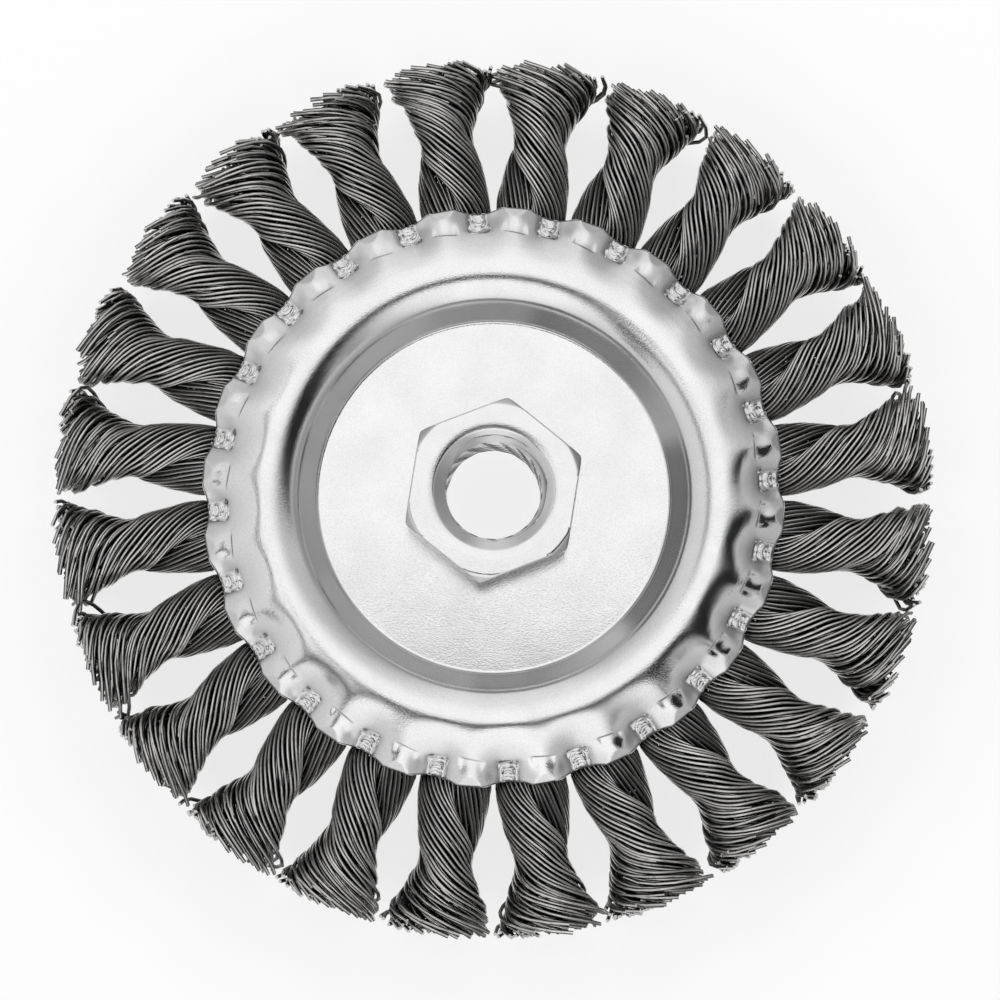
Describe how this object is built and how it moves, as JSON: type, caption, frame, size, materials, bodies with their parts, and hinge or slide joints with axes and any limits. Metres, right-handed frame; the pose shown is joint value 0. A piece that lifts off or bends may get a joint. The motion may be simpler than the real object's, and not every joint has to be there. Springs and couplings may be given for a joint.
{
  "type": "knotted wire wheel brush",
  "caption": "Wire wheel brush with twisted wire knots clamped between two pressed steel cups and a threaded hexagon nut at the centre, for an angle grinder",
  "frame": {"origin": "On the spindle axis, in the mid-plane of the knots, where the two cups meet face to face", "axes": "+Z along the spindle axis toward the nut, +X and +Y in the mid-plane of the wheel with +X between two knots"},
  "size_m": [0.115, 0.115, 0.0185],
  "materials": {
    "nut_steel": "satin",
    "cup_steel": "gloss",
    "ring_steel": "satin",
    "wire": "satin"
  },
  "bodies": {
    "root": {"hex_nut": "nut_steel", "front_cup": "cup_steel", "rear_cup": "cup_steel", "core_ring": "ring_steel", "knot_01": "wire", "knot_02": "wire", "knot_03": "wire", "knot_04": "wire", "knot_05": "wire", "knot_06": "wire", "knot_07": "wire", "knot_08": "wire", "knot_09": "wire", "knot_10": "wire", "knot_11": "wire", "knot_12": "wire", "knot_13": "wire", "knot_14": "wire", "knot_15": "wire", "knot_16": "wire", "knot_17": "wire", "knot_18": "wire", "knot_19": "wire", "knot_20": "wire", "knot_21": "wire", "knot_22": "wire", "knot_23": "wire", "knot_24": "wire"}
  },
  "joints": []
}
